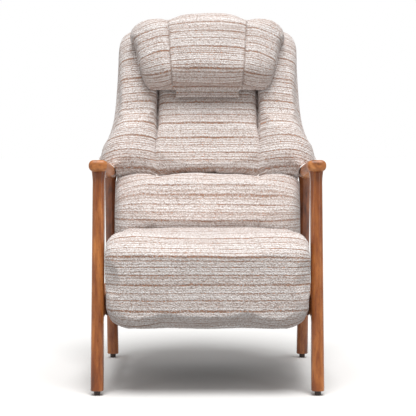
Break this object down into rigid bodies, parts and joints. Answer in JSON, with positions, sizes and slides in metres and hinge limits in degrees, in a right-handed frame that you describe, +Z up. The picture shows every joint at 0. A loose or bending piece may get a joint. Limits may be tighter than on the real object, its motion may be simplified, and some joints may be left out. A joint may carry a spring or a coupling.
{
  "type": "reclining armchair",
  "caption": "High-backed push-back recliner with wooden side frames, slanted legs, striped woven upholstery, folding leg rest and a sliding head pillow.",
  "frame": {"origin": "on the floor below the middle of the chair's bounding box", "axes": "+X across the chair, -Y the way the sitter looks, +Z up"},
  "size_m": [0.6546, 0.7709, 1.0447],
  "materials": {
    "wood_frame": "satin",
    "inner_wood": "matte",
    "striped_fabric": "matte",
    "zinc_steel": "satin",
    "spring_steel": "satin",
    "glide_plastic": "matte",
    "felt": "matte",
    "black_cloth": "matte"
  },
  "bodies": {
    "frame": {"left_front_leg": "wood_frame", "left_rear_leg": "wood_frame", "left_armrest": "wood_frame", "left_side_rail": "wood_frame", "right_front_leg": "wood_frame", "right_rear_leg": "wood_frame", "right_armrest": "wood_frame", "right_side_rail": "wood_frame", "leg_glides": "glide_plastic", "frame_dowels": "inner_wood", "rail_spacers": "inner_wood", "rail_bolts": "zinc_steel", "rail_inserts": "zinc_steel", "left_seat_box_side": "inner_wood", "right_seat_box_side": "inner_wood", "seat_box_front_rail": "inner_wood", "seat_box_middle_rail": "inner_wood", "seat_box_rear_rail": "inner_wood", "corner_blocks": "inner_wood", "dust_cover": "black_cloth", "seat_springs": "spring_steel", "spring_clips": "zinc_steel", "seat_felt": "felt", "seat_cushion": "striped_fabric", "plate_screws": "zinc_steel", "hinge_pins": "zinc_steel", "leg_rest_brackets": "zinc_steel", "back_pivot_plates": "zinc_steel", "pivot_washers": "zinc_steel"},
    "back": {"left_back_arm": "zinc_steel", "left_back_stile": "inner_wood", "left_wing_pad": "striped_fabric", "right_back_arm": "zinc_steel", "right_back_stile": "inner_wood", "right_wing_pad": "striped_fabric", "back_bottom_rail": "inner_wood", "back_middle_rail": "inner_wood", "back_top_rail": "inner_wood", "wing_cores": "inner_wood", "back_arm_screws": "zinc_steel", "back_rod_pins": "zinc_steel", "back_springs": "spring_steel", "back_spring_clips": "zinc_steel", "rear_shell": "striped_fabric", "centre_back_panel": "striped_fabric", "lumbar_roll": "striped_fabric", "pillow_strap": "striped_fabric"},
    "leg_rest": {"leg_rest_pad": "striped_fabric", "leg_rest_board": "inner_wood", "leg_rest_screws": "zinc_steel", "leg_rest_rod_pins": "zinc_steel", "left_leg_rest_arm": "zinc_steel", "right_leg_rest_arm": "zinc_steel"},
    "push_rods": {"left_push_rod": "zinc_steel", "right_push_rod": "zinc_steel"},
    "headrest": {"head_pillow": "striped_fabric", "strap_tab": "striped_fabric"},
    "counterweight": {"counterweight_pouch": "striped_fabric", "counterweight_bar": "spring_steel"}
  },
  "joints": [
    {"name": "back_recline", "type": "hinge", "parent": "frame", "child": "back", "pos_m": [0, 0.135, 0.28], "axis": [-1, 0, 0], "range_deg": [0, 30]},
    {"name": "leg_rest_fold", "type": "hinge", "parent": "frame", "child": "leg_rest", "pos_m": [0, -0.31, 0.355], "axis": [-1, 0, 0], "range_deg": [0, 80]},
    {"name": "rod_turn", "type": "hinge", "parent": "back", "child": "push_rods", "pos_m": [0, 0.15571, 0.20273], "axis": [1, 0, 0], "range_deg": [0, 30]},
    {"name": "pillow_slide", "type": "slide", "parent": "back", "child": "headrest", "axis": [0, 0.342, 0.9397], "range_m": [-0.06, 0.03]},
    {"name": "counterweight_slide", "type": "slide", "parent": "back", "child": "counterweight", "axis": [0, 0.342, 0.9397], "range_m": [-0.03, 0.06]}
  ],
  "couplings": [
    {"joint": "leg_rest_fold", "follows": "back_recline", "ratio": 2.6667},
    {"joint": "rod_turn", "follows": "back_recline", "ratio": 1},
    {"joint": "counterweight_slide", "follows": "pillow_slide", "ratio": -1}
  ]
}
